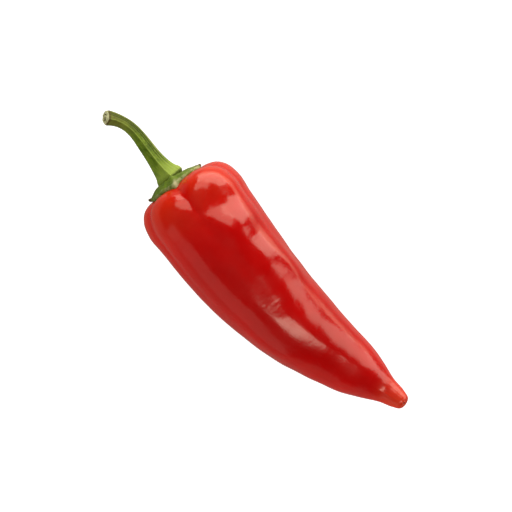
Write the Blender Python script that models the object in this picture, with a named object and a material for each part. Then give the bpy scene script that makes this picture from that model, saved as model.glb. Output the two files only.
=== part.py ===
"""A red chilli pepper, picked and laid on its side: the fruit, its calyx and its stem.

Frame, in metres: +X runs from the stem's cut end to the fruit's tip, +Z is up, and the origin
is on the table under the middle of the pepper.

Every piece is a skin of rings round an axis that bends. A point on the fruit is given by two
numbers: "along", the distance along the axis from the calyx's seat, and "turn", the angle
round the axis from straight up towards +Y.
"""

import bpy
import numpy as np

MM = 0.001
DEGREE = np.pi / 180

# The fruit's half outline, as (along, radius) in millimetres. It starts at the flat seat
# under the calyx, rounds the shoulder and tapers to the blunt tip.
FRUIT_OUTLINE_MM = [
    (2.35, 0.0),
    (2.35, 4.5),
    (2.25, 8.2),
    (2.45, 10.2),
    (3.3, 12.1),
    (5.4, 13.9),
    (9.4, 15.15),
    (15.0, 15.15),
    (22.0, 14.9),
    (32.0, 14.25),
    (44.0, 13.05),
    (56.0, 11.6),
    (68.0, 9.4),
    (76.0, 7.75),
    (81.5, 5.9),
    (86.0, 4.0),
    (89.8, 2.8),
    (91.7, 1.6),
    (92.2, 0.0),
]
FRUIT_RINGS = 44
FRUIT_SIDES = 44
RING_CROWDING = 0.5  # how much closer the rings stand at the shoulder and the tip

# The fruit's axis: which way it points in plan and in height along its length.
SHOULDER_HEADING = -10.5 * DEGREE
TIP_HEADING = 8.3 * DEGREE
BEND_FROM, BEND_TO = 14 * MM, 77 * MM
SHOULDER_PITCH = -1.0 * DEGREE
BELLY_PITCH = -9.2 * DEGREE
SAG_FROM, SAG_TO = 6 * MM, 66 * MM
TIP_LIFT = 34 * DEGREE  # the last stretch turns up again, and shows the flower's scar
LIFT_FROM, LIFT_TO = 72 * MM, 92 * MM
SEAT_OFFSET = 0.75 * MM  # the stem stands this far off the fruit's own axis
SEAT_BLEND = 18 * MM
SEAT_RADIUS = 4.5 * MM

# Four grooves run from the calyx down between the lobes: (turn at the shoulder in degrees,
# turn at the tip in degrees, depth in millimetres, length in millimetres that it fades over).
GROOVES = [
    (-3, 14, 2.2, 9),
    (71, 64, 1.9, 14),
    (-66, -60, 1.9, 14),
    (178, 178, 2.6, 20),
]
GROOVE_WIDTH = 3.4 * MM
GROOVE_ROUNDING = 0.7 * MM

# Swellings and hollows of the wall: (along, turn in degrees, half length, half width, height),
# lengths in millimetres.
SWELLINGS = [
    (5, 100, 7, 9, 0.5),
    (5, -100, 7, 9, 0.6),
    (11, 154, 9, 6, 0.7),
    (11, -156, 9, 6, 0.7),
    (7, 34, 7, 6.5, 0.5),
    (6, -34, 6, 5.5, 0.3),
    (52, -6, 13, 4.0, 0.7),
    (50, 17, 14, 3.4, -0.7),
    (50, 52, 16, 5.0, 0.25),
    (26, 36, 6, 5.0, 0.3),
    (33, -40, 9, 6.0, 0.25),
]

# The calyx: a thin cap whose rim has five dried teeth.
CALYX_RADIUS = 7.9 * MM
CALYX_THICKNESS = 2.05 * MM
RIM_THICKNESS = 0.5 * MM
TEETH_AT = [-2, 92, 150, 208, 268]
TOOTH_LENGTH = 0.9 * MM
TOOTH_HALF_WIDTH = 11 * DEGREE
CALYX_RINGS = 7
CALYX_SIDES = 40
GAP = 0.3 * MM

# The stem: a five-sided stalk that flares on to the calyx and bends over at its cut end.
STEM_LENGTH = 26.0 * MM
STEM_OUTLINE_MM = [
    (0.0, 4.1),
    (1.0, 4.1),
    (2.1, 3.8),
    (3.4, 3.35),
    (5.8, 2.75),
    (8.2, 2.4),
    (12.0, 2.1),
    (16.0, 1.9),
    (20.0, 1.9),
    (23.5, 2.1),
    (26.0, 2.15),
]
STEM_HEADING = 5 * DEGREE
STEM_SWAY = 6 * DEGREE
STEM_SWAY_TO = 9.5 * MM
STEM_TURN = -54 * DEGREE
STEM_TURN_FROM = 12.5 * MM
STEM_TURN_TO = 28.5 * MM
STEM_PITCH = 3 * DEGREE
STEM_RISE = 20 * DEGREE
STEM_RISE_FROM = 8 * MM
STEM_RIDGES = 5
RIDGE_SHARE = 0.07  # a ridge's height as a share of the stem's radius
STEM_RINGS = 24
STEM_SIDES = 25

PRESSED_FLAT = 0.3 * MM  # how far the fruit's own weight flattens it where it rests


def ease(value):
    """0 below 0, 1 above 1, and a smooth rise between."""
    value = np.clip(value, 0, 1)
    return value * value * (3 - 2 * value)


def smooth_outline(points_mm):
    """A function of distance along the smooth curve through the points, and its length."""
    points = np.array(points_mm) * MM
    chord = np.linalg.norm(np.diff(points, axis=0), axis=1)
    knots = np.concatenate([[0], np.cumsum(chord)])
    slopes = np.gradient(points, knots, axis=0)

    def at(distance):
        """The point, and the unit direction of the curve there, by a cubic in each span."""
        span = np.clip(np.searchsorted(knots, distance) - 1, 0, len(knots) - 2)
        width = knots[span + 1] - knots[span]
        t = ((distance - knots[span]) / width)[..., None]
        width = width[..., None]
        start, end = points[span], points[span + 1]
        leave, arrive = slopes[span] * width, slopes[span + 1] * width
        cubic = 2 * (start - end) + leave + arrive
        square = 3 * (end - start) - 2 * leave - arrive
        point = ((cubic * t + square) * t + leave) * t + start
        direction = (3 * cubic * t + 2 * square) * t + leave
        direction /= np.linalg.norm(direction, axis=-1, keepdims=True)
        return point, direction

    return at, knots[-1]


def walk(length, heading, pitch, start=(0, 0, 0), way=1):
    """A function of distance along an axis, that gives a point and the three directions there.

    heading and pitch are functions of the distance. way is -1 for an axis that runs to -X.
    """
    steps = 600
    distance = np.linspace(0, length, steps)
    yaw, rise = heading(distance), pitch(distance)
    ahead = np.stack([way * np.cos(yaw) * np.cos(rise), np.sin(yaw) * np.cos(rise), np.sin(rise)], 1)
    stride = (ahead[1:] + ahead[:-1]) / 2 * (length / (steps - 1))
    place = np.concatenate([[start], start + np.cumsum(stride, axis=0)])

    def at(where):
        def read(table):
            return np.stack([np.interp(where, distance, table[:, k]) for k in range(3)], -1)

        # Past either end the axis runs on straight.
        over = (where - np.clip(where, 0, length))[..., None]
        forward = read(ahead)
        forward /= np.linalg.norm(forward, axis=-1, keepdims=True)
        side = np.cross([0.0, 0.0, way], forward)
        side /= np.linalg.norm(side, axis=-1, keepdims=True)
        up = np.cross(forward, side) * way
        return read(place) + over * forward, forward, side, up

    return at


fruit_outline, OUTLINE_LENGTH = smooth_outline(FRUIT_OUTLINE_MM)
stem_outline, STEM_OUTLINE_LENGTH = smooth_outline(STEM_OUTLINE_MM)
FRUIT_LENGTH = FRUIT_OUTLINE_MM[-1][0] * MM


def fruit_heading(along):
    bend = ease((along - BEND_FROM) / (BEND_TO - BEND_FROM))
    return SHOULDER_HEADING + (TIP_HEADING - SHOULDER_HEADING) * bend


def fruit_pitch(along):
    sag = ease((along - SAG_FROM) / (SAG_TO - SAG_FROM))
    lift = ease((along - LIFT_FROM) / (LIFT_TO - LIFT_FROM))
    return SHOULDER_PITCH + (BELLY_PITCH - SHOULDER_PITCH) * sag + TIP_LIFT * lift


fruit_axis = walk(FRUIT_LENGTH, fruit_heading, fruit_pitch)


def arc_between(turn, other, radius):
    """The distance round the axis between two turns."""
    return radius * np.abs((turn - other + np.pi) % (2 * np.pi) - np.pi)


def groove_depth(along, turn, radius):
    """How deep the grooves are. Each falls off exponentially to its sides and along the fruit."""
    depth = 0
    for at_shoulder, at_tip, deepest, fade in GROOVES:
        middle = (at_shoulder + (at_tip - at_shoulder) * along / FRUIT_LENGTH) * DEGREE
        aside = arc_between(turn, middle, radius)
        rounded = np.hypot(aside, GROOVE_ROUNDING) - GROOVE_ROUNDING
        fading = 0.8 * np.exp(-along / (fade * MM)) + 0.2 * np.exp(-along / (4 * fade * MM))
        depth = depth + deepest * MM * fading * np.exp(-rounded / GROOVE_WIDTH)
    return depth * ease((radius - SEAT_RADIUS) / (6 * MM)) * ease((FRUIT_LENGTH - along) / (20 * MM))


def swelling_height(along, turn, radius):
    """The sum of the swellings and hollows, each a round hill of the given half lengths."""
    height = 0
    for at, facing, half_length, half_width, tallest in SWELLINGS:
        ahead = (along - at * MM) / (half_length * MM)
        aside = arc_between(turn, facing * DEGREE, radius) / (half_width * MM)
        height = height + tallest * MM * np.exp(-ahead**2 - aside**2)
    return height * ease((radius - SEAT_RADIUS) / (5 * MM))


def fruit_surface(distance, turn, raised=0.0, groove_share=1.0):
    """Points on the fruit's skin, or raised above it, at a distance along its outline."""
    outline, direction = fruit_outline(distance)
    along, radius = outline[..., 0], outline[..., 1]
    centre, forward, side, up = fruit_axis(along)
    outward = np.cos(turn)[..., None] * up + np.sin(turn)[..., None] * side
    normal = direction[..., :1] * outward - direction[..., 1:] * forward
    height = swelling_height(along, turn, radius) - groove_share * groove_depth(along, turn, radius)
    shift = -SEAT_OFFSET * (1 - ease(distance / SEAT_BLEND))
    return centre + shift[..., None] * side + radius[..., None] * outward + (height + raised)[..., None] * normal


def crowded(count):
    """Even steps from 0 to 1, drawn closer together at both ends."""
    step = np.linspace(0, 1, count)
    return step - RING_CROWDING * np.sin(2 * np.pi * step) / (2 * np.pi)


def turns(sides):
    return np.linspace(0, 2 * np.pi, sides, endpoint=False)


def fruit_rings():
    """The fruit's rings of points, with the two poles left out, and the two poles."""
    distance = OUTLINE_LENGTH * crowded(FRUIT_RINGS + 2)
    turn, distance = np.meshgrid(turns(FRUIT_SIDES), distance)
    points = fruit_surface(distance, turn, np.zeros_like(turn))
    return points[1:-1], points[0, 0], points[-1, 0]


def calyx_rim(turn):
    """The calyx's radius: a circle with a pointed tooth at each place in TEETH_AT."""
    radius = np.full_like(turn, CALYX_RADIUS)
    for tooth in TEETH_AT:
        aside = arc_between(turn, tooth * DEGREE, 1) / TOOTH_HALF_WIDTH
        radius = radius + TOOTH_LENGTH * np.exp(-(aside**1.5))
    return radius


def calyx_rings():
    """The calyx's rings, out along its top and back in underneath, and its two middles."""
    share = np.linspace(0, 1, CALYX_RINGS + 1)
    turn, share = np.meshgrid(turns(CALYX_SIDES), share)
    half_radii, _ = fruit_outline(np.linspace(0, 14 * MM, 200))
    distance = np.interp(share * calyx_rim(turn), half_radii[:, 1], np.linspace(0, 14 * MM, 200))
    thinned = np.clip((share * calyx_rim(turn) - SEAT_RADIUS) / (CALYX_RADIUS - SEAT_RADIUS), 0, 1)
    thickness = CALYX_THICKNESS + (RIM_THICKNESS - CALYX_THICKNESS) * thinned
    top = fruit_surface(distance, turn, GAP + thickness, groove_share=0.25)
    under = fruit_surface(distance, turn, np.full_like(turn, GAP), groove_share=0.25)
    rings = np.concatenate([top[1:], under[:0:-1]])
    return rings, top[0, 0], under[0, 0]


def stem_heading(along):
    sway = STEM_SWAY * ease(along / STEM_SWAY_TO)
    return STEM_HEADING + sway + STEM_TURN * ease((along - STEM_TURN_FROM) / (STEM_TURN_TO - STEM_TURN_FROM))


def stem_pitch(along):
    return STEM_PITCH + STEM_RISE * ease((along - STEM_RISE_FROM) / (STEM_LENGTH - STEM_RISE_FROM))


def stem_rings():
    """The stem's rings from the cut end to the foot, and the middles of both flat ends."""
    seat, forward, side, _ = fruit_axis(np.array(0.0))
    foot = seat - SEAT_OFFSET * side - GAP * forward
    axis = walk(STEM_LENGTH, stem_heading, stem_pitch, start=foot, way=-1)
    outline, _ = stem_outline(np.linspace(STEM_OUTLINE_LENGTH, 0, STEM_RINGS))
    turn, along = np.meshgrid(turns(STEM_SIDES), outline[:, 0])
    _, radius = np.meshgrid(turns(STEM_SIDES), outline[:, 1])
    radius = radius * (1 + RIDGE_SHARE * np.cos(STEM_RIDGES * turn))
    centre, _, side, up = axis(along)
    # At the foot the rings lie flat on the calyx's seat, whichever way the stem leaves it.
    points = centre + radius[..., None] * (np.cos(turn)[..., None] * up + np.sin(turn)[..., None] * side)
    depth = (points - foot) @ forward
    points = points - (depth * (along == 0))[..., None] * forward
    return points, axis(np.array(STEM_LENGTH))[0], foot


def skin_of_rings(name, rings, first_pole, last_pole, material):
    """One closed object: quads between neighbouring rings, and a fan of triangles at each pole."""
    count, sides, _ = rings.shape
    points = np.concatenate([rings.reshape(-1, 3), [first_pole, last_pole]])
    faces = []
    for ring in range(count - 1):
        for side in range(sides):
            after = (side + 1) % sides
            here, beyond = ring * sides, (ring + 1) * sides
            faces.append((here + side, beyond + side, beyond + after, here + after))
    last = (count - 1) * sides
    for side in range(sides):
        after = (side + 1) % sides
        faces.append((count * sides, side, after))
        faces.append((count * sides + 1, last + after, last + side))
    mesh = bpy.data.meshes.new(name)
    mesh.from_pydata(points.tolist(), [], faces)
    mesh.materials.append(material)
    mesh.shade_smooth()
    mesh.set_sharp_from_angle(angle=50 * DEGREE)
    made = bpy.data.objects.new(name, mesh)
    bpy.context.scene.collection.objects.link(made)
    return made


def plain_material(name, color, roughness):
    material = bpy.data.materials.new(name)
    material.use_nodes = True
    shader = material.node_tree.nodes["Principled BSDF"]
    shader.inputs["Base Color"].default_value = (*color, 1)
    shader.inputs["Roughness"].default_value = roughness
    shader.inputs["Metallic"].default_value = 0
    return material


def main():
    for leftover in list(bpy.data.objects):
        bpy.data.objects.remove(leftover)

    skins = {
        "fruit": fruit_rings(),
        "calyx": calyx_rings(),
        "stem": stem_rings(),
    }
    everything = np.concatenate([rings.reshape(-1, 3) for rings, _, _ in skins.values()])
    low, high = everything.min(axis=0), everything.max(axis=0)
    to_table = -np.array([(low[0] + high[0]) / 2, (low[1] + high[1]) / 2, low[2] + PRESSED_FLAT])
    materials = {
        "fruit": plain_material("glossy_red_skin", (0.44, 0.004, 0.003), 0.25),
        "calyx": plain_material("green_calyx", (0.10, 0.17, 0.02), 0.6),
        "stem": plain_material("green_stem", (0.19, 0.28, 0.04), 0.55),
    }
    for name, (rings, first_pole, last_pole) in skins.items():
        rings = rings + to_table
        rings[..., 2] = np.maximum(rings[..., 2], 0)
        skin_of_rings(name, rings, first_pole + to_table, last_pole + to_table, materials[name])


main()
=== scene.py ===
"""A ripe chilli pepper lying on its side, in a plain studio.

The pepper is three skins of rings round bent axes: the fruit, the calyx and the stem. A point
on a skin is given by two numbers: the distance along the piece's half outline, and the turn
round its axis, from straight up towards +Y. Lengths are in metres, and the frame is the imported
part's: +X from the stem's cut end to the fruit's tip, +Z up from the table.
"""

import math

import bpy
import numpy as np
from mathutils import Matrix, Vector


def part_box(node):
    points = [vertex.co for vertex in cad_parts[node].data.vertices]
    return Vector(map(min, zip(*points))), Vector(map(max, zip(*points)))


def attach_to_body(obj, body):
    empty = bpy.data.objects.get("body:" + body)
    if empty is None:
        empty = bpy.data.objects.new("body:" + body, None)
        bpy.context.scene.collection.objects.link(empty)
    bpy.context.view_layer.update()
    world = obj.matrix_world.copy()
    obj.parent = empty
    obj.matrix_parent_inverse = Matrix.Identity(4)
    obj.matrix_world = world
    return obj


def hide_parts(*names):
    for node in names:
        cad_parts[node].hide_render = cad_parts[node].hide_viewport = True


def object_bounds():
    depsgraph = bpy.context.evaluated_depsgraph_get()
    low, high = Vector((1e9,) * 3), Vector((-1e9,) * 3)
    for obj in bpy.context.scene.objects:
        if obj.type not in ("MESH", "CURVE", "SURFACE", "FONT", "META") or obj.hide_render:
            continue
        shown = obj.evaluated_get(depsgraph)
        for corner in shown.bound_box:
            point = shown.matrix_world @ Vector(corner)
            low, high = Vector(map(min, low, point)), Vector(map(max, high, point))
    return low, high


bl_info = {
    "name": "Chilli Pepper",
    "version": (1, 0, 0),
    "blender": (4, 5, 0),
    "location": "3D View > Sidebar > Pepper",
    "description": "Makes a ripe chilli pepper with its calyx and stem, and a plain studio",
    "category": "Add Mesh",
}

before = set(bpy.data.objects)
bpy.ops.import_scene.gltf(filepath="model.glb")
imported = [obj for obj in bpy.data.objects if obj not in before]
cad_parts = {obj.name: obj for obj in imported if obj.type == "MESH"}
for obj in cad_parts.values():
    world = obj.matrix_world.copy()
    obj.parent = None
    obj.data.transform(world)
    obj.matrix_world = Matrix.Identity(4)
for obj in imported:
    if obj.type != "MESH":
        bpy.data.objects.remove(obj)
CAD_LOW, CAD_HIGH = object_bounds()

MM = 0.001
DEGREE = math.pi / 180

# The fruit's half outline as (along, radius) in millimetres, from the flat seat under the
# calyx, over the shoulder, to the blunt tip.
FRUIT_OUTLINE_MM = [
    (2.35, 0.0),
    (2.35, 4.5),
    (2.25, 8.2),
    (2.45, 10.2),
    (3.3, 12.1),
    (5.4, 13.9),
    (9.4, 15.15),
    (15.0, 15.15),
    (22.0, 14.9),
    (32.0, 14.25),
    (44.0, 13.05),
    (56.0, 11.6),
    (68.0, 9.4),
    (76.0, 7.75),
    (81.5, 5.75),
    (86.0, 3.85),
    (90.0, 2.85),
    (92.1, 1.85),
    (92.75, 0.0),
]
FRUIT_RINGS = 300
FRUIT_SIDES = 300
RING_CROWDING = 0.75
AXIS_STEPS = 600
WAVES_SUMMED = 28

SHOULDER_HEADING = -10.5 * DEGREE
TIP_HEADING = 8.3 * DEGREE
BEND_FROM, BEND_TO = 14 * MM, 77 * MM
SHOULDER_PITCH = -1.0 * DEGREE
BELLY_PITCH = -9.2 * DEGREE
SAG_FROM, SAG_TO = 6 * MM, 66 * MM
TIP_LIFT = 34 * DEGREE
LIFT_FROM, LIFT_TO = 75 * MM, 92 * MM
SEAT_OFFSET = 0.75 * MM
SEAT_BLEND = 18 * MM
SEAT_RADIUS = 4.5 * MM

# Grooves between the lobes: (turn at the shoulder, turn at the tip, depth in millimetres,
# length in millimetres that it fades over, share that fades four times slower), turns in
# degrees.
GROOVES = [
    (-4, 14, 2.9, 10, 0.1),
    (71, 64, 1.9, 14, 0.2),
    (-66, -60, 1.9, 14, 0.2),
    (178, 178, 2.6, 20, 0.2),
]
GROOVE_TAIL_STRETCH = 4
GROOVE_WIDTH = 3.4 * MM
GROOVE_ROUNDING = 0.7 * MM
GROOVE_CLEARS_SEAT = 8 * MM
GROOVE_CLEARS_TIP = 20 * MM

# Swellings and hollows: (along, turn in degrees, half length, half width, height), in
# millimetres.
SWELLINGS = [
    (5, 100, 7, 9, 0.5),
    (5, -100, 7, 9, 0.6),
    (11, 154, 9, 6, 0.7),
    (11, -156, 9, 6, 0.7),
    (7, 34, 7, 6.5, 0.5),
    (6, -34, 6, 5.5, 0.3),
    (12.5, 25, 4.0, 5.0, -1.1),
    (15.5, 42, 3.6, 6.0, -0.5),
    (14.8, 1, 1.5, 1.8, 0.35),
    (20.5, 34, 4.5, 7.0, 0.25),
    (26.5, 42, 4, 7.0, -0.5),
    (33, 46, 5, 6.0, 0.25),
    (40, 56, 5, 4.5, 0.55),
    (54, 40, 9, 5.0, -0.35),
    (52, -6, 13, 4.0, 0.2),
    (50, 17, 14, 3.4, -0.2),
    (33, -40, 9, 6.0, 0.25),
    (51, -46, 8, 4.5, 0.85),
    (66, -42, 6, 4.0, -0.35),
]
SWELLING_CLEARS_SEAT = 5 * MM
# The skin's rolling relief: (height, shortest wave, longest wave) in millimetres, and a seed.
SKIN_WAVES = [(0.028, 6, 12, 3), (0.007, 2.5, 5, 5)]
SKIN_WAVES_END = 14 * MM
# The flower's scar is a ring round a pit with a nick beside it, and both lie a little way
# back from the outline's end. A low ridge runs towards them.
SCAR_BACK, SCAR_TURN = 1.15 * MM, 0
NICK_BACK, NICK_TURN = 1.0 * MM, 100 * DEGREE
SCAR_REACH = 0.5 * MM
SCAR_RING_HEIGHT, SCAR_RING_RADIUS, SCAR_RING_REACH = 0.10 * MM, 0.46 * MM, 0.17 * MM
SCAR_PIT_DEPTH, SCAR_PIT_REACH = 0.26 * MM, 0.26 * MM
NICK_DEPTH, NICK_REACH = 0.22 * MM, 0.34 * MM
TIP_RIDGE_HEIGHT, TIP_RIDGE_AT, TIP_RIDGE_REACH = 0.10 * MM, 86.5 * MM, 3.2 * MM
TIP_RIDGE_TURN, TIP_RIDGE_HALF_WIDTH = -12 * DEGREE, 5 * DEGREE

# The underside is pressed flat on the table, and the tip reaches a little past the part's.
PRESSED_FLAT = 0.3 * MM
TIP_PAST_CAD = 0.5 * MM

CALYX_RADIUS = 8.0 * MM
CALYX_THICKNESS = 2.3 * MM
RIM_THICKNESS = 0.45 * MM
THINNING_POWER = 1.7
UNDERSIDE_SUNK = 0.08 * MM
GROOVE_BRIDGED = 0.6
RIM_BULGE = 0.22 * MM
RIM_WAVE, RIM_WAVES = 0.12 * MM, 9
RIM_RIPPLE, RIM_RIPPLES = 0.07 * MM, 17
CALYX_LEAN = 0.3 * MM
CALYX_RIB, CALYX_RIB_TURN, CALYX_RIB_WIDTH = 0.6 * MM, -1 * DEGREE, 9 * DEGREE
VEIN_HEIGHT = 0.05 * MM
CRINKLE_HEIGHT, CRINKLE_SHORTEST, CRINKLE_LONGEST = 0.03 * MM, 0.8 * MM, 2 * MM
# Teeth on the calyx's rim: (turn in degrees, length in millimetres, half width in degrees,
# how far the point curls up in millimetres).
TEETH = [
    (-5, 0.8, 8, 0.0),
    (82, 0.3, 9, 0.4),
    (150, 0.7, 12, 0.1),
    (208, 0.7, 12, 0.1),
    (270, 0.8, 10, 0.6),
]
TOOTH_POWER = 1.5
FULLY_DRIED_CURL = 0.35 * MM
CALYX_RINGS = 46
CALYX_RING_CROWDING = 1.6
RIM_RINGS = 7
CALYX_SIDES = 360

# The stem's half outline: the flared foot, the stalk, the collar and the cut face.
STEM_LENGTH = 26.2 * MM
STEM_OUTLINE_MM = [
    (-0.6, 0.0),
    (-0.6, 3.0),
    (-0.2, 3.8),
    (0.5, 4.1),
    (1.2, 4.0),
    (2.4, 3.4),
    (5.2, 2.7),
    (8.4, 2.3),
    (12.3, 2.08),
    (16.0, 1.88),
    (19.0, 1.8),
    (21.5, 1.82),
    (24.0, 2.02),
    (25.3, 2.15),
    (25.7, 2.1),
    (26.0, 1.9),
    (26.15, 1.6),
    (26.2, 1.0),
    (26.2, 0.0),
]
STEM_HEADING = 5 * DEGREE
STEM_SWAY = 6 * DEGREE
STEM_SWAY_TO = 9.5 * MM
STEM_TURN = -54 * DEGREE
STEM_TURN_FROM = 12.5 * MM
STEM_TURN_TO = 28.5 * MM
STEM_PITCH = 3 * DEGREE
STEM_RISE = 27 * DEGREE
STEM_RISE_FROM = 8 * MM
# The stalk's edges, where its facets meet: (turn at the foot, turn at the cut) in degrees.
STEM_EDGES = [(5, -12), (82, 62), (140, 125), (205, 192), (278, 262)]
FACET_SHARE = 0.55
# Ribs and furrows down the stem: (turn at the foot, turn at the cut, share of the radius,
# half width), turns in degrees. A furrow's share is below zero.
RIBS = [
    (5, -12, 0.07, 6),
    (34, 24, -0.06, 5),
    (58, 42, -0.08, 6),
    (110, 98, -0.06, 6),
    (172, 160, -0.06, 7),
    (240, 228, -0.06, 7),
    (-48, -62, -0.03, 7),
]
RIB_ROUNDING = 0.3
FURROW_LEAST = 0.4
FURROW_FROM, FURROW_GROWS_OVER = 2 * MM, 7 * MM
FIBRES = 46
FIBRE_SHARE = 0.008
FIBRE_BUNCHES, FIBRE_BUNCHING = 3, 4
SECTION_LEAST = 0.35
SECTION_ENDS, SECTION_CENTRE = 0.6 * MM, 2 * MM
# The cut face: the pith's hole, a low ring round it, and a crack further out.
CUT_FROM, CUT_BLEND = 25.6 * MM, 0.2 * MM
PITH_ASIDE, PITH_UP = -0.5 * MM, 0.15 * MM
HOLE_DEPTH, HOLE_REACH = 1.1 * MM, 0.62 * MM
RING_HEIGHT, RING_RADIUS, RING_REACH = 0.22 * MM, 0.9 * MM, 0.3 * MM
CRACK_DEPTH, CRACK_RADIUS, CRACK_REACH = 0.3 * MM, 1.25 * MM, 0.16 * MM
ROUGH_HEIGHT, ROUGH_SHORTEST, ROUGH_LONGEST = 0.08 * MM, 0.5 * MM, 1.6 * MM
STEM_RINGS = 300
STEM_SIDES = 300

# Zones along the fruit or across its grooves where the colour or gloss changes, each from
# where the change starts to where it is full.
BRIGHT_SHOULDER = (26 * MM, 10 * MM)
BRIGHT_TIP = (62 * MM, 80 * MM)
WARM_SHOULDER = (24 * MM, 2 * MM)
ORANGE_TIP = (80 * MM, 92 * MM)
DULL_TIP = (64 * MM, 88 * MM)
CREASE = (0.5 * MM, 1.8 * MM)
# Sizes of the skin's blotches and pores, and depths of what is too fine for the mesh.
SKIN_CLOUDS, SKIN_SHEEN = 9 * MM, 3 * MM
SKIN_PORES, PORE_DEPTH = 0.55 * MM, 0.0075 * MM
SKIN_WRINKLES, WRINKLE_DEPTH = 1 * MM, 0.035 * MM

# The same for the stem: zones along it, and of its folds as shares of the radius.
OLIVE_STALK = (12 * MM, 25 * MM)
PALE_FOOT = (7 * MM, 1 * MM)
SHADED_FOOT = (0.9 * MM, 0.2 * MM)
# Where along the stalk a painted highlight runs down the side that faces the main light.
LIT_EDGE_ZONE = (5 * MM, 11 * MM)
FRECKLED_END = (21 * MM, 25 * MM)
BROWN_LINE = (24.95 * MM, 25.3 * MM)
# Folds whose furrows get painted shade, and whose ribs get a painted highlight.
FURROW_SHADE_FOLD = (-0.02, -0.055)
RIB_HIGHLIGHT_FOLD = (0.03, 0.07)
GREEN_CLOUDS, GREEN_FIBRES = 2.2 * MM, 0.4 * MM
FIBRE_STRETCH = (0.15, 1, 1)
STEM_FIBRE_DEPTH, CALYX_FIBRE_DEPTH = 0.05 * MM, 0.08 * MM

# The lights, all aimed at the pepper: (name, azimuth from +X and elevation in degrees,
# distance, width and height in metres, share of its setting, kind). A light shows in every
# surface, a card only in gloss and a fill never in gloss. A fill's setting is the fill light,
# the others' is the main light.
LIGHTS = [
    ("main_softbox", 114, 17, 0.7, 1.17, 0.52, 1.0, "light"),
    ("high_card", 130, 51, 0.7, 0.78, 0.36, 0.65, "card"),
    ("near_card", 47.5, 12, 0.3, 0.155, 0.22, 0.75, "card"),
    ("top_card", -7, 54.5, 0.8, 0.58, 0.18, 1.35, "card"),
    ("fill_panel", -90, 60, 1.2, 2.4, 2.4, 1.2, "fill"),
    ("dim_panel", -78, 18, 0.7, 0.65, 0.46, 0.12, "light"),
]
WALLS_SHARE_OF_FILL = 0.4
# The studio as glossy skin sees it: strengths above and below the table's level, with a
# pale rim and a low glow on the side that the backdrop is on.
BACKDROP_WAY = (-0.34, 0.94, 0)
SEEN_ABOVE = 0.006
SEEN_BELOW = 0.2
SEEN_RIM = 0.32
SEEN_BACKDROP = 0.3
SEEN_GLOW = 2.6
WARM_WALLS = (1, 0.9, 0.75)
PLAIN_WALLS = 0.95
CAMERA_X, CAMERA_Y = -0.51 * MM, 2.95 * MM
CAMERA_TURN = 43.4 * DEGREE


# Shapes ------------------------------------------------------------------------------------


def ease(value):
    """0 below 0, 1 above 1, and t*t*(3 - 2t) between."""
    value = np.clip(value, 0, 1)
    return value * value * (3 - 2 * value)


def hill(distance, reach):
    """A round hill: e to the power of minus the square of distance over reach."""
    return np.exp(-((distance / reach) ** 2))


def smooth_outline(points_mm):
    """A function of distance along the smooth curve through the points, and its length.

    Each span is a cubic whose end slopes are the mean slopes of its neighbours.
    """
    points = np.array(points_mm) * MM
    chord = np.linalg.norm(np.diff(points, axis=0), axis=1)
    knots = np.concatenate([[0], np.cumsum(chord)])
    slopes = np.gradient(points, knots, axis=0)

    def at(distance):
        """The point, and the unit direction of the curve there."""
        span = np.clip(np.searchsorted(knots, distance) - 1, 0, len(knots) - 2)
        width = knots[span + 1] - knots[span]
        t = ((distance - knots[span]) / width)[..., None]
        width = width[..., None]
        start, end = points[span], points[span + 1]
        leave, arrive = slopes[span] * width, slopes[span + 1] * width
        cubic = 2 * (start - end) + leave + arrive
        square = 3 * (end - start) - 2 * leave - arrive
        point = ((cubic * t + square) * t + leave) * t + start
        direction = (3 * cubic * t + 2 * square) * t + leave
        direction /= np.linalg.norm(direction, axis=-1, keepdims=True)
        return point, direction

    return at, knots[-1]


def walk(length, heading, pitch, start=(0, 0, 0), way=1):
    """A function of distance along an axis: the point there, and ahead, sideways and up.

    The axis is the running sum of short strides. heading turns a stride in plan and pitch
    tips it up, each as a function of the distance. way is -1 for an axis that runs to -X.
    Sideways is level, the cross product of up and ahead.
    """
    distance = np.linspace(0, length, AXIS_STEPS)
    yaw, rise = heading(distance), pitch(distance)
    level = np.cos(rise)
    ahead = np.stack([way * np.cos(yaw) * level, np.sin(yaw) * level, np.sin(rise)], 1)
    stride = (ahead[1:] + ahead[:-1]) / 2 * (length / (AXIS_STEPS - 1))
    place = np.concatenate([[start], start + np.cumsum(stride, axis=0)])

    def at(where):
        """The four vectors there, running straight on past either end."""

        def read(table):
            return np.stack([np.interp(where, distance, table[:, k]) for k in range(3)], -1)

        over = (where - np.clip(where, 0, length))[..., None]
        forward = read(ahead)
        forward /= np.linalg.norm(forward, axis=-1, keepdims=True)
        side = np.cross([0.0, 0.0, way], forward)
        side /= np.linalg.norm(side, axis=-1, keepdims=True)
        up = np.cross(forward, side) * way
        return read(place) + over * forward, forward, side, up

    return at


def waves(points, shortest, longest, seed):
    """A rolling relief of mean height 0 and spread about 1.

    It is a sum of cosines of the position. Their directions, lengths and starts come from
    seeded random numbers, with lengths spread evenly between the shortest and the longest.
    """
    random = np.random.default_rng(seed)
    direction = random.normal(size=(WAVES_SUMMED, 3))
    direction /= np.linalg.norm(direction, axis=1, keepdims=True)
    length = random.uniform(shortest, longest, WAVES_SUMMED)
    start = random.uniform(0, 2 * math.pi, WAVES_SUMMED)
    height = np.zeros(points.shape[:-1])
    for way, size, begin in zip(direction, length, start):
        height += np.cos(points @ way * (2 * math.pi / size) + begin)
    return height / math.sqrt(WAVES_SUMMED / 2)


def arc_between(turn, other, radius=1.0):
    """The distance round an axis between two turns."""
    return radius * np.abs((turn - other + math.pi) % (2 * math.pi) - math.pi)


def crowded(count, crowding):
    """Even steps from 0 to 1, drawn closer together at both ends by a sine."""
    step = np.linspace(0, 1, count)
    return step - crowding * np.sin(2 * math.pi * step) / (2 * math.pi)


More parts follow.
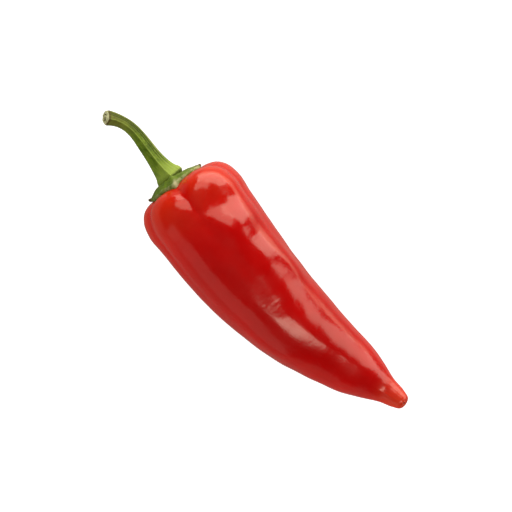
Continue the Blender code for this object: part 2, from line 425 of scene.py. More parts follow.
def grid(distance, sides):
    """Every turn at every distance, as two arrays of rings by sides."""
    return np.meshgrid(np.linspace(0, 2 * math.pi, sides, endpoint=False), distance)


fruit_outline, FRUIT_OUTLINE_LENGTH = smooth_outline(FRUIT_OUTLINE_MM)
stem_outline, STEM_OUTLINE_LENGTH = smooth_outline(STEM_OUTLINE_MM)
FRUIT_LENGTH = FRUIT_OUTLINE_MM[-1][0] * MM


def fruit_heading(along):
    """The axis's turn in plan: it eases from the shoulder's heading to the tip's."""
    bend = ease((along - BEND_FROM) / (BEND_TO - BEND_FROM))
    return SHOULDER_HEADING + (TIP_HEADING - SHOULDER_HEADING) * bend


def fruit_pitch(along):
    """The axis's tilt: it eases from the shoulder's to the belly's, and the tip lifts."""
    sag = ease((along - SAG_FROM) / (SAG_TO - SAG_FROM))
    lift = ease((along - LIFT_FROM) / (LIFT_TO - LIFT_FROM))
    return SHOULDER_PITCH + (BELLY_PITCH - SHOULDER_PITCH) * sag + TIP_LIFT * lift


fruit_axis = walk(FRUIT_LENGTH, fruit_heading, fruit_pitch)


def groove_depth(along, turn, radius):
    """How deep the grooves are: each falls off exponentially to its sides and along."""
    depth = 0
    for at_shoulder, at_tip, deepest, fade, tail in GROOVES:
        middle = (at_shoulder + (at_tip - at_shoulder) * along / FRUIT_LENGTH) * DEGREE
        aside = arc_between(turn, middle, radius)
        rounded = np.hypot(aside, GROOVE_ROUNDING) - GROOVE_ROUNDING
        slow = np.exp(-along / (GROOVE_TAIL_STRETCH * fade * MM))
        fading = (1 - tail) * np.exp(-along / (fade * MM)) + tail * slow
        depth = depth + deepest * MM * fading * np.exp(-rounded / GROOVE_WIDTH)
    depth = depth * ease((radius - SEAT_RADIUS) / GROOVE_CLEARS_SEAT)
    return depth * ease((FRUIT_LENGTH - along) / GROOVE_CLEARS_TIP)


def swelling_height(along, turn, radius):
    """The sum of the swellings and hollows, each a round hill of the given half lengths."""
    height = 0
    for at, facing, half_length, half_width, tallest in SWELLINGS:
        ahead = (along - at * MM) / (half_length * MM)
        aside = arc_between(turn, facing * DEGREE, radius) / (half_width * MM)
        height = height + tallest * MM * np.exp(-(ahead**2) - aside**2)
    return height * ease((radius - SEAT_RADIUS) / SWELLING_CLEARS_SEAT)


def fruit_surface(distance, turn, raised=0.0, groove_share=1.0):
    """Points on the fruit's skin or raised above it, their along, groove depth and normal.

    The outline's radius is carried round the axis, and the swellings, less the grooves, are
    added along the outline's normal. Near the seat the rings slide sideways under the stem.
    """
    outline, direction = fruit_outline(distance)
    along, radius = outline[..., 0], outline[..., 1]
    centre, forward, side, up = fruit_axis(along)
    outward = np.cos(turn)[..., None] * up + np.sin(turn)[..., None] * side
    normal = direction[..., :1] * outward - direction[..., 1:] * forward
    groove = groove_depth(along, turn, radius)
    height = swelling_height(along, turn, radius) - groove_share * groove + raised
    shift = -SEAT_OFFSET * (1 - ease(distance / SEAT_BLEND))
    points = centre + shift[..., None] * side + radius[..., None] * outward
    return points + height[..., None] * normal, along, groove, normal


def middle_of_mark(back, facing):
    """The point on the fruit's skin that lies a way back from the outline's end, at a turn."""
    return fruit_surface(np.array(FRUIT_OUTLINE_LENGTH - back), np.array(facing))[0]


def fruit_skin():
    """The fruit's points as rings by sides, and what its colour follows.

    To the plain shape it adds rolling waves that fade at the tip. At the tip it adds the
    flower's scar, a low ring round a pit with a nick beside it, and a low ridge. Each is a
    round hill of the distance from its own middle.
    """
    distance = FRUIT_OUTLINE_LENGTH * crowded(FRUIT_RINGS, RING_CROWDING)
    turn, distance = grid(distance, FRUIT_SIDES)
    points, along, groove, normal = fruit_surface(distance, turn)
    relief = sum(
        height * MM * waves(points, shortest * MM, longest * MM, seed)
        for height, shortest, longest, seed in SKIN_WAVES
    )
    relief *= ease((FRUIT_LENGTH - along) / SKIN_WAVES_END)

    from_scar, from_nick = (
        np.linalg.norm(points - middle_of_mark(back, facing), axis=-1)
        for back, facing in ((SCAR_BACK, SCAR_TURN), (NICK_BACK, NICK_TURN))
    )
    relief += SCAR_RING_HEIGHT * hill(from_scar - SCAR_RING_RADIUS, SCAR_RING_REACH)
    relief -= SCAR_PIT_DEPTH * hill(from_scar, SCAR_PIT_REACH)
    relief -= NICK_DEPTH * hill(from_nick, NICK_REACH)
    ridge = hill(arc_between(turn, TIP_RIDGE_TURN), TIP_RIDGE_HALF_WIDTH)
    relief += TIP_RIDGE_HEIGHT * ridge * hill(along - TIP_RIDGE_AT, TIP_RIDGE_REACH)
    points = points + relief[..., None] * normal
    return points, {"along": along, "groove": groove, "scar": hill(from_scar, SCAR_REACH)}


def calyx_rim(turn):
    """The calyx's radius and how far its edge curls up: a circle with two sets of waves,
    and teeth that fall off exponentially to their sides."""
    radius = CALYX_RADIUS + RIM_WAVE * np.cos(RIM_WAVES * turn + 1)
    radius = radius + RIM_RIPPLE * np.cos(RIM_RIPPLES * turn)
    curl = np.zeros_like(turn)
    for facing, length, half_width, lift in TEETH:
        aside = arc_between(turn, facing * DEGREE) / (half_width * DEGREE)
        radius = radius + length * MM * np.exp(-(aside**TOOTH_POWER))
        curl = curl + lift * MM * np.exp(-(aside**2))
    return radius, curl


def calyx_skin():
    """The calyx's points: out along its top, round its rim and back in under it.

    A point's share runs from 0 at the middle to 1 at the rim, and picks the same radius on
    the fruit's outline. The top stands off the fruit by a thickness that thins to the rim,
    with a rib in front, fine veins and a crinkle. level is 1 on the top and 0 underneath.
    """
    step = np.linspace(0, 1, CALYX_RINGS)
    out = 1 - (1 - step) ** CALYX_RING_CROWDING
    rounding = np.linspace(0, math.pi, RIM_RINGS + 2)[1:-1]
    ones, zeros = np.ones(CALYX_RINGS), np.zeros(CALYX_RINGS)
    share = np.concatenate([out, np.ones(RIM_RINGS), out[::-1]])
    level = np.concatenate([ones, 0.5 + 0.5 * np.cos(rounding), zeros])
    bulge = np.concatenate([zeros, np.sin(rounding), zeros])
    turn, share = grid(share, CALYX_SIDES)
    level, bulge = (np.broadcast_to(part[:, None], turn.shape) for part in (level, bulge))

    rim, curl = calyx_rim(turn)
    radius = share * rim + RIM_BULGE * bulge
    half = np.linspace(0, 14 * MM, 400)
    half_radii = fruit_outline(half)[0][:, 1]
    distance = np.interp(radius, half_radii, half)
    thinned = np.clip((radius - SEAT_RADIUS) / (CALYX_RADIUS - SEAT_RADIUS), 0, 1)
    thinner = (RIM_THICKNESS - CALYX_THICKNESS) * thinned**THINNING_POWER
    thickness = CALYX_THICKNESS + thinner
    middling = np.sin(math.pi * np.clip((share - 0.35) / 0.65, 0, 1))
    thickness = thickness - CALYX_LEAN * np.sin(turn) * middling
    front = hill(arc_between(turn, CALYX_RIB_TURN), CALYX_RIB_WIDTH)
    thickness = thickness + CALYX_RIB * front * middling
    veins = np.cos(13 * turn + 0.6) + 0.6 * np.cos(29 * turn)
    thickness = thickness + VEIN_HEIGHT * veins * middling
    lift = curl * ease((share - 0.8) / 0.2)
    raised = level * thickness + lift - UNDERSIDE_SUNK * (1 - level)
    groove_share = 1 - GROOVE_BRIDGED * level
    points = fruit_surface(distance, turn, raised, groove_share)[0]
    crinkle = CRINKLE_HEIGHT * waves(points, CRINKLE_SHORTEST, CRINKLE_LONGEST, seed=11)
    crinkle = crinkle * level * ease((share - 0.4) / 0.2)
    _, forward, _, _ = fruit_axis(np.array(0.0))
    points = points - crinkle[..., None] * forward
    layers = {
        "rim": ease((share - 0.95) / 0.05),
        "corner": front**3 * ease((share - 0.84) / 0.12),
        # inner places the painted shade on the calyx round the stem.
        "inner": ease((0.62 - share) / 0.12),
        # How far a point faces +Y, towards the main light; it places painted light.
        "facing_light": 0.5 + 0.5 * np.sin(turn),
        "dried": curl / FULLY_DRIED_CURL * ease((share - 0.75) / 0.2),
    }
    return points, layers


def stem_heading(along):
    """The axis's turn in plan: it sways a little by the foot, then bends the other way."""
    sway = STEM_SWAY * ease(along / STEM_SWAY_TO)
    bend = ease((along - STEM_TURN_FROM) / (STEM_TURN_TO - STEM_TURN_FROM))
    return STEM_HEADING + sway + STEM_TURN * bend


def stem_pitch(along):
    """The axis's tilt: it eases upwards to the cut."""
    return STEM_PITCH + STEM_RISE * ease((along - STEM_RISE_FROM) / (STEM_LENGTH - STEM_RISE_FROM))


def stalk_section(turn, along):
    """The stalk's radius at a turn as a share of its outline's radius, and the folds' part.

    It blends a circle with a prism whose facets join the edges: a facet's radius is the
    cosine of half its span over the cosine of the turn from its middle. Ribs and furrows
    are sharp folds, e to the power of minus the distance over the half width, and furrows
    deepen away from the foot. The fibres are a cosine of the turn, drawn into bunches.
    """
    reach = np.clip(along / STEM_LENGTH, 0, 1)
    edges = [(foot + (cut - foot) * reach) * DEGREE for foot, cut in STEM_EDGES]
    prism = np.ones_like(turn)
    for edge, following in zip(edges, [*edges[1:], edges[0] + 2 * math.pi]):
        least = np.cos((following - edge) / 2)
        towards = np.cos(turn - (edge + following) / 2)
        prism = np.where(towards > least, least / np.maximum(towards, least), prism)
    share = 1 + FACET_SHARE * (prism - 1)
    fold = np.zeros_like(turn)
    for at_foot, at_cut, size, half_width in RIBS:
        middle = (at_foot + (at_cut - at_foot) * reach) * DEGREE
        aside = arc_between(turn, middle) / (half_width * DEGREE)
        rounded = np.hypot(aside, RIB_ROUNDING) - RIB_ROUNDING
        grown = ease((along - FURROW_FROM) / FURROW_GROWS_OVER) if size < 0 else 1
        fold += size * (FURROW_LEAST + (1 - FURROW_LEAST) * grown) * np.exp(-rounded)
    fibres = np.cos(FIBRES * turn + FIBRE_BUNCHING * np.sin(FIBRE_BUNCHES * turn))
    return share + fold + FIBRE_SHARE * fibres, fold


def stem_skin():
    """The stem's points: its outline carried round its bent axis, with its facets and ribs.

    The cut face is uneven. Its hole, the low ring round it and the crack on one side are
    round hills of the distance from the pith.
    """
    seat, _, side, _ = fruit_axis(np.array(0.0))
    foot = seat - SEAT_OFFSET * side
    axis = walk(STEM_LENGTH, stem_heading, stem_pitch, start=foot, way=-1)
    step = STEM_OUTLINE_LENGTH * np.linspace(0, 1, STEM_RINGS)
    turn, distance = grid(step, STEM_SIDES)
    outline, _ = stem_outline(distance)
    along, radius = outline[..., 0], outline[..., 1]
    stalk = ease((STEM_LENGTH - along) / SECTION_ENDS) * ease(radius / SECTION_CENTRE)
    section, fold = stalk_section(turn, along)
    radius = radius * (1 + (section - 1) * (SECTION_LEAST + (1 - SECTION_LEAST) * stalk))
    centre, forward, aside, up = axis(along)
    sideways, upwards = radius * np.sin(turn), radius * np.cos(turn)
    points = centre + upwards[..., None] * up + sideways[..., None] * aside
    cut = ease((along - CUT_FROM) / CUT_BLEND)
    from_pith = np.hypot(sideways - PITH_ASIDE, upwards - PITH_UP)
    hole = hill(from_pith, HOLE_REACH)
    ring = hill(from_pith - RING_RADIUS, RING_REACH)
    crack = hill(from_pith - CRACK_RADIUS, CRACK_REACH) * ease(sideways / (0.5 * MM))
    rough = ROUGH_HEIGHT * waves(points, ROUGH_SHORTEST, ROUGH_LONGEST, seed=21)
    rough = rough + RING_HEIGHT * ring - HOLE_DEPTH * hole - CRACK_DEPTH * crack
    points = points + (rough * cut)[..., None] * forward
    layers = {
        "along": along,
        "cut": cut,
        # Where the cut face gets painted shade: the pith's hole and the crack.
        "hole": cut * (hole + 0.6 * crack),
        "fold": fold,
        # How far a point faces +Y, towards the main light; it places painted light.
        "facing_light": 0.5 + 0.5 * np.sin(turn),
    }
    return points, layers


def place_on_table(points, fruit):
    """Points moved from the axis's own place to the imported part's: the fruit's tip just past
    the part's end, its middle at the part's in Y, and its underside pressed on the table."""
    low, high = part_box("fruit")
    shift = np.array(
        [
            high.x + TIP_PAST_CAD - fruit[..., 0].max(),
            (low.y + high.y) / 2 - (fruit[..., 1].min() + fruit[..., 1].max()) / 2,
            -fruit[..., 2].min() - PRESSED_FLAT,
        ]
    )
    points = points + shift
    points[..., 2] = np.maximum(points[..., 2], 0)
    return points


def skin_piece(name, rings, layers, material):
    """A closed mesh object from rings of points, the first and last ring being the poles.

    Quads join neighbouring rings, with a fan of triangles at each pole. layers are values at
    the points, stored as attributes that the material reads.
    """
    count, sides = rings.shape[:2]
    body = rings[1:-1].reshape(-1, 3)
    points = np.concatenate([body, rings[0, :1], rings[-1, :1]])
    inner = count - 2
    ring, side = np.meshgrid(np.arange(inner - 1), np.arange(sides), indexing="ij")
    after = (side + 1) % sides
    here, beyond = ring * sides, (ring + 1) * sides
    quads = np.stack([here + side, beyond + side, beyond + after, here + after], -1).reshape(-1, 4)
    spoke = np.arange(sides)
    following = (spoke + 1) % sides
    last = (inner - 1) * sides
    first_pole, last_pole = inner * sides, inner * sides + 1
    first_fan = np.stack([np.full(sides, first_pole), spoke, following], -1)
    last_fan = np.stack([np.full(sides, last_pole), last + following, last + spoke], -1)
    corners = np.concatenate([quads.ravel(), first_fan.ravel(), last_fan.ravel()])
    totals = np.concatenate([np.full(len(quads), 4), np.full(2 * sides, 3)])
    starts = np.concatenate([[0], np.cumsum(totals)[:-1]])

    mesh = bpy.data.meshes.new(name)
    mesh.vertices.add(len(points))
    mesh.vertices.foreach_set("co", points.astype(np.float32).ravel())
    mesh.loops.add(len(corners))
    mesh.loops.foreach_set("vertex_index", corners.astype(np.int32))
    mesh.polygons.add(len(totals))
    mesh.polygons.foreach_set("loop_start", starts.astype(np.int32))
    mesh.update(calc_edges=True)
    mesh.validate()
    mesh.shade_smooth()
    for layer, values in layers.items():
        flat = np.concatenate([values[1:-1].ravel(), values[0, :1], values[-1, :1]])
        attribute = mesh.attributes.new(layer, "FLOAT", "POINT")
        attribute.data.foreach_set("value", flat.astype(np.float32))
    mesh.materials.append(material)
    piece = bpy.data.objects.new(name, mesh)
    bpy.context.scene.collection.objects.link(piece)
    return piece


# Materials ---------------------------------------------------------------------------------


class Wire:
    """A node's output, on which sums can be written."""

    def __init__(self, recipe, socket):
        self.recipe, self.socket = recipe, socket

    def __add__(self, other):
        return self.recipe.math("ADD", self, other)

    def __sub__(self, other):
        return self.recipe.math("SUBTRACT", self, other)

    def __rsub__(self, other):
        return self.recipe.math("SUBTRACT", other, self)

    def __mul__(self, other):
        return self.recipe.math("MULTIPLY", self, other)

    __radd__ = __add__
    __rmul__ = __mul__

    def between(self, low, high):
        """0 at low and 1 at high, smooth between, and low may be the larger."""
        settings = {"interpolation_type": "SMOOTHSTEP"}
        values = {"Value": self, "From Min": low, "From Max": high}
        return self.recipe.node("ShaderNodeMapRange", settings, values)


class Recipe:
    """A material or world being made: its nodes are added by one method, and sums by Wire."""

    def __init__(self, block, shader):
        block.use_nodes = True
        self.block, self.tree = block, block.node_tree
        self.shader = self.tree.nodes[shader]

    def put(self, socket, value):
        """Links a wire to the socket, or sets a number, a colour or a vector on it."""
        if isinstance(value, Wire):
            self.tree.links.new(value.socket, socket)
        elif socket.type == "RGBA" and len(value) == 3:
            socket.default_value = (*value, 1)
        else:
            socket.default_value = value

    def node(self, kind, settings=None, values=None, output=0):
        """A new node with its settings set first, then its sockets. Returns one output."""
        made = self.tree.nodes.new(kind)
        for key, value in (settings or {}).items():
            setattr(made, key, value)
        for key, value in (values or {}).items():
            self.put(made.inputs[key], value)
        return Wire(self, made.outputs[output])

    def math(self, operation, first, second):
        """A sum on two numbers, either of which may be a wire."""
        return self.node("ShaderNodeMath", {"operation": operation}, {0: first, 1: second})

    def mix(self, factor, first, second):
        """The first colour at factor 0, the second at 1."""
        values = {0: factor, 6: first, 7: second}
        return self.node("ShaderNodeMix", {"data_type": "RGBA"}, values, output=2)

    def layer(self, name):
        """One of the values that the mesh stores at its points."""
        return self.node("ShaderNodeAttribute", {"attribute_name": name}, output="Fac")

    def place(self, stretch=(1, 1, 1)):
        """The object's own coordinates, stretched."""
        place = self.node("ShaderNodeTexCoord", output="Object")
        return self.node("ShaderNodeMapping", {}, {"Vector": place, "Scale": stretch})

    def noise(self, size, detail=3, place=None):
        """Cloudy noise, 0 to 1, whose blotches are about this size in metres."""
        values = {"Vector": place or self.place(), "Scale": 1 / size, "Detail": detail}
        return self.node("ShaderNodeTexNoise", {}, values)

    def bump(self, height, depth, under=None):
        """A bumped normal: height 0 to 1 stands for a depth in metres."""
        values = {"Height": height, "Distance": depth, "Strength": 1.0}
        if under:
            values["Normal"] = under
        return self.node("ShaderNodeBump", {}, values)

    def finish(self, sockets):
        """Sets or links the shader's own sockets, and returns the material or world."""
        for key, value in sockets.items():
            self.put(self.shader.inputs[key], value)
        return self.block


def new_material(name):
    """The recipe of a new material, with one Principled shader."""
    return Recipe(bpy.data.materials.new(name), "Principled BSDF")


def fruit_material(colours):
    """Waxy red skin: deep red, brighter at both ends and more orange on the shoulder's lobes
    and at the tip, with faint cloudy patches, tiny pores and an uneven gloss."""
    make = new_material("pepper_skin")
    along, groove, scar = make.layer("along"), make.layer("groove"), make.layer("scar")
    cloud = make.noise(SKIN_CLOUDS, detail=4)
    speck = make.noise(SKIN_PORES, detail=2)
    ends = along.between(*BRIGHT_SHOULDER) + along.between(*BRIGHT_TIP)
    bright = ends * 0.6 + 0.4 * cloud.between(0.35, 0.68)
    colour = make.mix(bright, colours.skin_deep, colours.skin_bright)
    shoulder = along.between(*WARM_SHOULDER)
    crease = groove.between(*CREASE)
    warm = (shoulder * 0.5 - crease * 0.3) * (0.6 + 0.8 * cloud)
    colour = make.mix(warm.between(0.0, 1.3), colour, colours.skin_orange)
    tip = along.between(*ORANGE_TIP) * (0.15 + 0.7 * cloud)
    colour = make.mix(tip, colour, colours.skin_orange)
    colour = make.mix(speck.between(0.62, 0.8) * 0.25, colour, colours.skin_bright)
    colour = make.mix(scar.between(0.45, 0.95) * 0.8, colour, colours.scar)
    roughness = 0.11 + 0.11 * make.noise(SKIN_SHEEN)
    roughness = roughness + 0.3 * scar + 0.06 * along.between(*DULL_TIP)
    fine = make.bump(speck, PORE_DEPTH)
    wrinkle = make.noise(SKIN_WRINKLES, detail=2, place=make.place((1.2, 0.4, 0.4)))
    wrinkled = make.bump(wrinkle, WRINKLE_DEPTH, fine)
    return make.finish(
        {
            "Base Color": colour,
            "Roughness": roughness,
            "Normal": wrinkled,
            "IOR": 1.5,
            "Specular IOR Level": 0.65,
            "Specular Tint": (1.0, 0.82, 0.64),
            "Subsurface Weight": 0.15,
            "Subsurface Radius": (1.0, 0.1, 0.05),
            "Subsurface Scale": 1.5 * MM,
        }
    )


def green_colour(make, colours, place):
    """Green that varies in patches and across the fibres, and the fibres' own noise."""
    cloud = make.noise(GREEN_CLOUDS, detail=4)
    streak = make.noise(GREEN_FIBRES, detail=4, place=place)
    colour = make.mix(cloud.between(0.3, 0.7), colours.stem_dark, colours.stem_light)
    colour = make.mix(streak.between(0.5, 0.3) * 0.6, colour, colours.stem_dark)
    return make.mix(streak.between(0.5, 0.75) * 0.5, colour, colours.stem_pale), streak


def plant_finish(make, colour, least_roughness, streak, depth):
    """Sets the satin finish that the stem and the calyx share, with bumped fibres."""
    return make.finish(
        {
            "Base Color": colour,
            "Roughness": least_roughness + 0.2 * streak,
            "Normal": make.bump(streak, depth),
            "IOR": 1.45,
            "Specular IOR Level": 0.3,
            "Specular Tint": (1.0, 1.0, 0.5),
        }
    )


def stem_material(colours):
    """Ridged green stalk, more olive towards the cut, with a brown line and a cream face."""
    make = new_material("pepper_stem")
    along, cut, hole = make.layer("along"), make.layer("cut"), make.layer("hole")
    fold, facing_light = make.layer("fold"), make.layer("facing_light")
    colour, streak = green_colour(make, colours, make.place(FIBRE_STRETCH))
    colour = make.mix(along.between(*OLIVE_STALK) * 0.7, colour, colours.stem_yellow)
    # The foot is a paler green, and is painted paler still on the side that faces the main light:
    # painted light.
    foot = along.between(*PALE_FOOT) * (0.35 + 0.5 * facing_light)
    colour = make.mix(foot, colour, colours.pale_foot_and_highlight)
    # Painted shade darkens the stem's furrows.
    colour = make.mix(fold.between(*FURROW_SHADE_FOLD) * 0.8, colour, colours.painted_shade_green)
    # Painted highlight: the ribs are lightened with the foot's pale green.
    colour = make.mix(fold.between(*RIB_HIGHLIGHT_FOLD) * 0.5, colour, colours.pale_foot_and_highlight)
    # Painted shadow: a dark band round the foot, where it meets the calyx.
    colour = make.mix(along.between(*SHADED_FOOT) * 0.8, colour, colours.painted_shade_green)
    # Painted highlight: a pale cream strip down the side of the stalk that faces the main light.
    lit_edge = facing_light.between(0.93, 0.99) * along.between(*LIT_EDGE_ZONE)
    colour = make.mix(lit_edge * 0.7, colour, colours.calyx_edge)
    freckle = make.noise(0.7 * MM, detail=2).between(0.56, 0.7) * along.between(*FRECKLED_END)
    colour = make.mix(freckle * 0.6, colour, colours.dried)
    line = along.between(*BROWN_LINE) * (0.55 + 0.6 * make.noise(0.8 * MM))
    colour = make.mix(line, colour, colours.dried)
    stain = make.noise(0.6 * MM).between(0.45, 0.7) * 0.6
    cream = make.mix(stain, colours.cut_face, colours.stem_yellow)
    # Painted shade: the pith's hole and the crack are darkened with the dried brown.
    cream = make.mix(hole.between(0.15, 0.5), cream, colours.dried)
    colour = make.mix(cut, colour, cream)
    return plant_finish(make, colour, 0.33, streak, STEM_FIBRE_DEPTH)


def calyx_material(colours):
    """Green cap with painted light: paler and greyer facing the main light, darker away from it,
    and painted shade round the stem. It has a pale edge and front corner and dried brown points."""
    make = new_material("pepper_calyx")
    facing_light = make.layer("facing_light")
    colour, streak = green_colour(make, colours, make.place())
    blotch = make.noise(1.0 * MM, detail=3)
    # Painted light: blotches of dark green away from the main light and of pale grey green facing
    # it.
    painted_sides = make.mix(facing_light, colours.calyx_shaded_green, colours.calyx_lit_green)
    colour = make.mix(blotch.between(0.3, 0.65) * 0.7, colour, painted_sides)
    edge = make.layer("rim") * (0.2 + 0.8 * blotch.between(0.4, 0.6))
    # Painted shade: the calyx is darkened round the stem's foot.
    colour = make.mix(make.layer("inner") * 0.85, colour, colours.painted_shade_green)
    # The pale edge is the calyx's own, and is painted paler on the side facing the main light.
    colour = make.mix(edge * (0.15 + 0.5 * facing_light), colour, colours.calyx_edge)
    colour = make.mix(make.layer("corner") * 0.75, colour, colours.calyx_edge)
    colour = make.mix(make.layer("dried").between(0.25, 0.8), colour, colours.dried)
    return plant_finish(make, colour, 0.40, streak, CALYX_FIBRE_DEPTH)


# Settings ----------------------------------------------------------------------------------


def colour_property(name, description, default):
    """A colour that the user can change."""
    return bpy.props.FloatVectorProperty(
        name=name, description=description, subtype="COLOR", size=3, min=0, max=1, default=default
    )


def length_property(name, description, default):
    """A length that the user can change, in metres."""
    return bpy.props.FloatProperty(
        name=name,
        description=description,
        subtype="DISTANCE",
        unit="LENGTH",
        min=0,
        default=default,
    )


class PepperColours(bpy.types.PropertyGroup):
    """Colours of the skin, the calyx and the stem."""

    skin_deep: colour_property("Deep red", "The skin's darker patches", (0.52, 0.0002, 0.0004))
    skin_bright: colour_property("Bright red", "The skin's lighter patches", (0.64, 0.0006, 0.0006))
    skin_orange: colour_property("Orange", "The shoulder's lobes and the tip", (0.80, 0.06, 0.012))
    scar: colour_property("Scar", "The flower's scar on the tip", (0.14, 0.02, 0.01))
    stem_dark: colour_property("Dark green", "The stem's dark patches", (0.060, 0.115, 0.001))
    stem_light: colour_property("Light green", "The stem's light patches", (0.15, 0.23, 0.006))
    stem_pale: colour_property("Pale green", "The stem's fibres", (0.24, 0.30, 0.04))
    # The foot's own pale green, which also paints a highlight along the stem's ribs.
    pale_foot_and_highlight: colour_property("Foot green", "The stem's foot and main ridge", (0.36, 0.46, 0.06))
    # Painted shade: the dark green in the stem's furrows, at its foot by the calyx and on the calyx
    # round the stem.
    painted_shade_green: colour_property("Furrow", "The stem's furrows", (0.04, 0.055, 0.003))
    stem_yellow: colour_property("Olive", "The stem near its cut", (0.17, 0.165, 0.025))
    # Painted light: the calyx's colours on its side away from the main light and on its side facing
    # it.
    calyx_shaded_green: colour_property("Calyx dark", "The calyx's darker side", (0.060, 0.11, 0.001))
    calyx_lit_green: colour_property("Calyx grey", "The calyx's paler side", (0.20, 0.25, 0.045))
    calyx_edge: colour_property("Calyx edge", "The calyx's pale edge", (0.55, 0.48, 0.26))
    cut_face: colour_property("Cut face", "The stem's cut end", (0.52, 0.50, 0.26))
    dried: colour_property("Dried brown", "Dried points and the collar", (0.085, 0.055, 0.012))


class PepperStudio(bpy.types.PropertyGroup):
    """The floor, the lights and the camera."""

    floor_size: length_property("Floor size", "The floor's width and depth", 6.0)
    floor_glow: bpy.props.FloatProperty(
        name="Floor glow", description="Light that the floor itself gives off", min=0, default=0.85
    )
    main_light: bpy.props.FloatProperty(
        name="Main light", description="Radiance of the large softbox", min=0, default=3.5
    )
    fill: bpy.props.FloatProperty(
        name="Fill light", description="Light from all round, unseen in gloss", min=0, default=0.54
    )
    lens: bpy.props.FloatProperty(name="Lens", description="Focal length in mm", min=10, default=85)
    view_width: length_property("View width", "How much the camera sees at mid height", 142.22 * MM)


# Operators ---------------------------------------------------------------------------------


def attach(piece, name):
    """The piece rides with the part's root body and stands in for its CAD node, which is hidden."""
    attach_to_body(piece, "root")
    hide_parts(name)


class PEPPER_OT_fruit(bpy.types.Operator):
    """Make the fruit, with its lobes, grooves and the flower's scar"""

    bl_idname = "pepper.fruit"
    bl_label = "Fruit"

    def execute(self, context):
        points, layers = fruit_skin()
        material = fruit_material(context.scene.pepper_colours)
        piece = skin_piece("pepper_fruit", place_on_table(points, points), layers, material)
        attach(piece, "fruit")
        return {"FINISHED"}


class PEPPER_OT_calyx(bpy.types.Operator):
    """Make the calyx, the thin green cap on the fruit's shoulder"""

    bl_idname = "pepper.calyx"
    bl_label = "Calyx"

    def execute(self, context):
        points, layers = calyx_skin()
        material = calyx_material(context.scene.pepper_colours)
        points = place_on_table(points, fruit_skin()[0])
        piece = skin_piece("pepper_calyx", points, layers, material)
        attach(piece, "calyx")
        return {"FINISHED"}


class PEPPER_OT_stem(bpy.types.Operator):
    """Make the ribbed stem, bent over at its cut end"""

    bl_idname = "pepper.stem"
    bl_label = "Stem"

    def execute(self, context):
        points, layers = stem_skin()
        material = stem_material(context.scene.pepper_colours)
        # The stem's rings run to -X, so they are taken in reverse to face outwards.
        layers = {name: values[::-1] for name, values in layers.items()}
        points = place_on_table(points, fruit_skin()[0])[::-1]
        piece = skin_piece("pepper_stem", points, layers, material)
        attach(piece, "stem")
        return {"FINISHED"}


def softbox(name, target, azimuth, elevation, distance, width, height, radiance, kind):
    """An area light that faces the target from a direction, as a row of LIGHTS gives it."""
    light = bpy.data.lights.new(name, "AREA")
    light.shape = "RECTANGLE"
    light.size, light.size_y = width, height
    light.energy = radiance * math.pi * width * height
    lamp = bpy.data.objects.new(name, light)
    bpy.context.scene.collection.objects.link(lamp)
    around, above = azimuth * DEGREE, elevation * DEGREE
    level = math.cos(above)
    away = Vector((math.cos(around) * level, math.sin(around) * level, math.sin(above)))
    lamp.location = target + away * distance
    lamp.rotation_mode = "QUATERNION"
    lamp.rotation_quaternion = away.to_track_quat("Z", "Y")
    lamp.visible_camera = False
    lamp.visible_diffuse = kind != "card"
    lamp.visible_glossy = kind != "fill"


def studio_world(fill):
    """A pale studio, whose walls give matt surfaces an even fill.

    Glossy skin sees it almost black above the table and dim below it. Behind the main
    softbox it sees a glow just under the horizon, and further down a pale rim.
    """
    make = Recipe(bpy.data.worlds.new("studio"), "Background")
    way = make.node("ShaderNodeTexCoord", output="Generated")
    values = {0: way, 1: BACKDROP_WAY}
    lobe = make.node("ShaderNodeVectorMath", {"operation": "DOT_PRODUCT"}, values, "Value")
    height = make.node("ShaderNodeSeparateXYZ", {}, {"Vector": way}, "Z")
    below = height.between(0.0, -0.05)
    behind = lobe.between(0.6, 0.85)
    rim = height.between(-0.4, -0.7) * lobe.between(0.2, 0.45)
    glow = height.between(-0.42, -0.08) * SEEN_GLOW
    seen = SEEN_ABOVE + below * (SEEN_BELOW + rim * SEEN_RIM + behind * (SEEN_BACKDROP + glow))
    path = "ShaderNodeLightPath"
    glossy, camera = (make.node(path, output=kind) for kind in ("Is Glossy Ray", "Is Camera Ray"))
    plain = camera * PLAIN_WALLS + (1 - camera) * fill
    strength = glossy * seen + (1 - glossy) * plain
    tint = make.mix(glossy, (1, 1, 1), WARM_WALLS)
    world = make.finish({"Color": tint, "Strength": strength})
    world.cycles.sampling_method = "NONE"
    return world


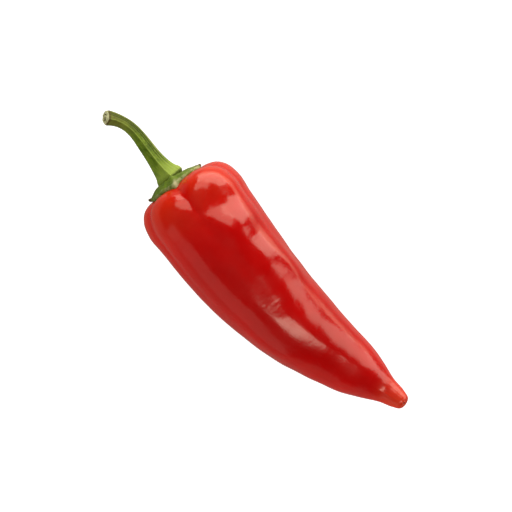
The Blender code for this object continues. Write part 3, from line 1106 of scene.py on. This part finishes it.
class PEPPER_OT_stage(bpy.types.Operator):
    """Make the pale floor, the soft lights, the dim studio and the camera"""

    bl_idname = "pepper.stage"
    bl_label = "Stage"

    def execute(self, context):
        studio = context.scene.pepper_studio
        half = studio.floor_size / 2
        corners = [(-half, -half, 0), (half, -half, 0), (half, half, 0), (-half, half, 0)]
        mesh = bpy.data.meshes.new("floor")
        mesh.from_pydata(corners, [], [(0, 1, 2, 3)])
        floor = bpy.data.objects.new("floor", mesh)
        context.scene.collection.objects.link(floor)
        floor.visible_glossy = False
        material = new_material("pale_floor").finish(
            {
                "Base Color": (0.5, 0.5, 0.5),
                "Roughness": 0.6,
                "Emission Color": (1.0, 1.0, 1.0),
                "Emission Strength": studio.floor_glow,
            }
        )
        mesh.materials.append(material)

        middle = Vector((0, 0, (CAD_LOW.z + CAD_HIGH.z) / 2))
        for name, azimuth, elevation, distance, width, height, share, kind in LIGHTS:
            radiance = share * (studio.fill if kind == "fill" else studio.main_light)
            softbox(name, middle, azimuth, elevation, distance, width, height, radiance, kind)
        context.scene.world = studio_world(studio.fill * WALLS_SHARE_OF_FILL)
        context.scene.view_settings.view_transform = "Standard"

        lens = bpy.data.cameras.new("camera")
        lens.lens = studio.lens
        lens.clip_start, lens.clip_end = 0.01, 20
        camera = bpy.data.objects.new("camera", lens)
        context.scene.collection.objects.link(camera)
        away = studio.view_width * studio.lens / lens.sensor_width
        place = Matrix.Translation((CAMERA_X, CAMERA_Y, middle.z + away))
        camera.matrix_world = place @ Matrix.Rotation(CAMERA_TURN, 4, "Z")
        context.scene.camera = camera
        return {"FINISHED"}


class PEPPER_PT_panel(bpy.types.Panel):
    """Lists the pepper's settings and the operator for each piece"""

    bl_label = "Chilli Pepper"
    bl_idname = "PEPPER_PT_panel"
    bl_space_type = "VIEW_3D"
    bl_region_type = "UI"
    bl_category = "Pepper"

    def draw(self, context):
        layout = self.layout
        for group in (context.scene.pepper_colours, context.scene.pepper_studio):
            box = layout.box()
            for name in group.bl_rna.properties.keys():
                if name not in ("rna_type", "name"):
                    box.prop(group, name)
        for operator in (PEPPER_OT_fruit, PEPPER_OT_calyx, PEPPER_OT_stem, PEPPER_OT_stage):
            layout.operator(operator.bl_idname)


CLASSES = (
    PepperColours,
    PepperStudio,
    PEPPER_OT_fruit,
    PEPPER_OT_calyx,
    PEPPER_OT_stem,
    PEPPER_OT_stage,
    PEPPER_PT_panel,
)


def register():
    """Adds the classes, and the settings to the scene."""
    for each in CLASSES:
        bpy.utils.register_class(each)
    bpy.types.Scene.pepper_colours = bpy.props.PointerProperty(type=PepperColours)
    bpy.types.Scene.pepper_studio = bpy.props.PointerProperty(type=PepperStudio)


def unregister():
    """Takes the settings off the scene and removes the classes."""
    del bpy.types.Scene.pepper_studio
    del bpy.types.Scene.pepper_colours
    for each in reversed(CLASSES):
        bpy.utils.unregister_class(each)


def main():
    """Makes every piece and the stage."""
    register()
    bpy.ops.pepper.fruit()
    bpy.ops.pepper.calyx()
    bpy.ops.pepper.stem()
    bpy.ops.pepper.stage()


if __name__ == "__main__":
    main()
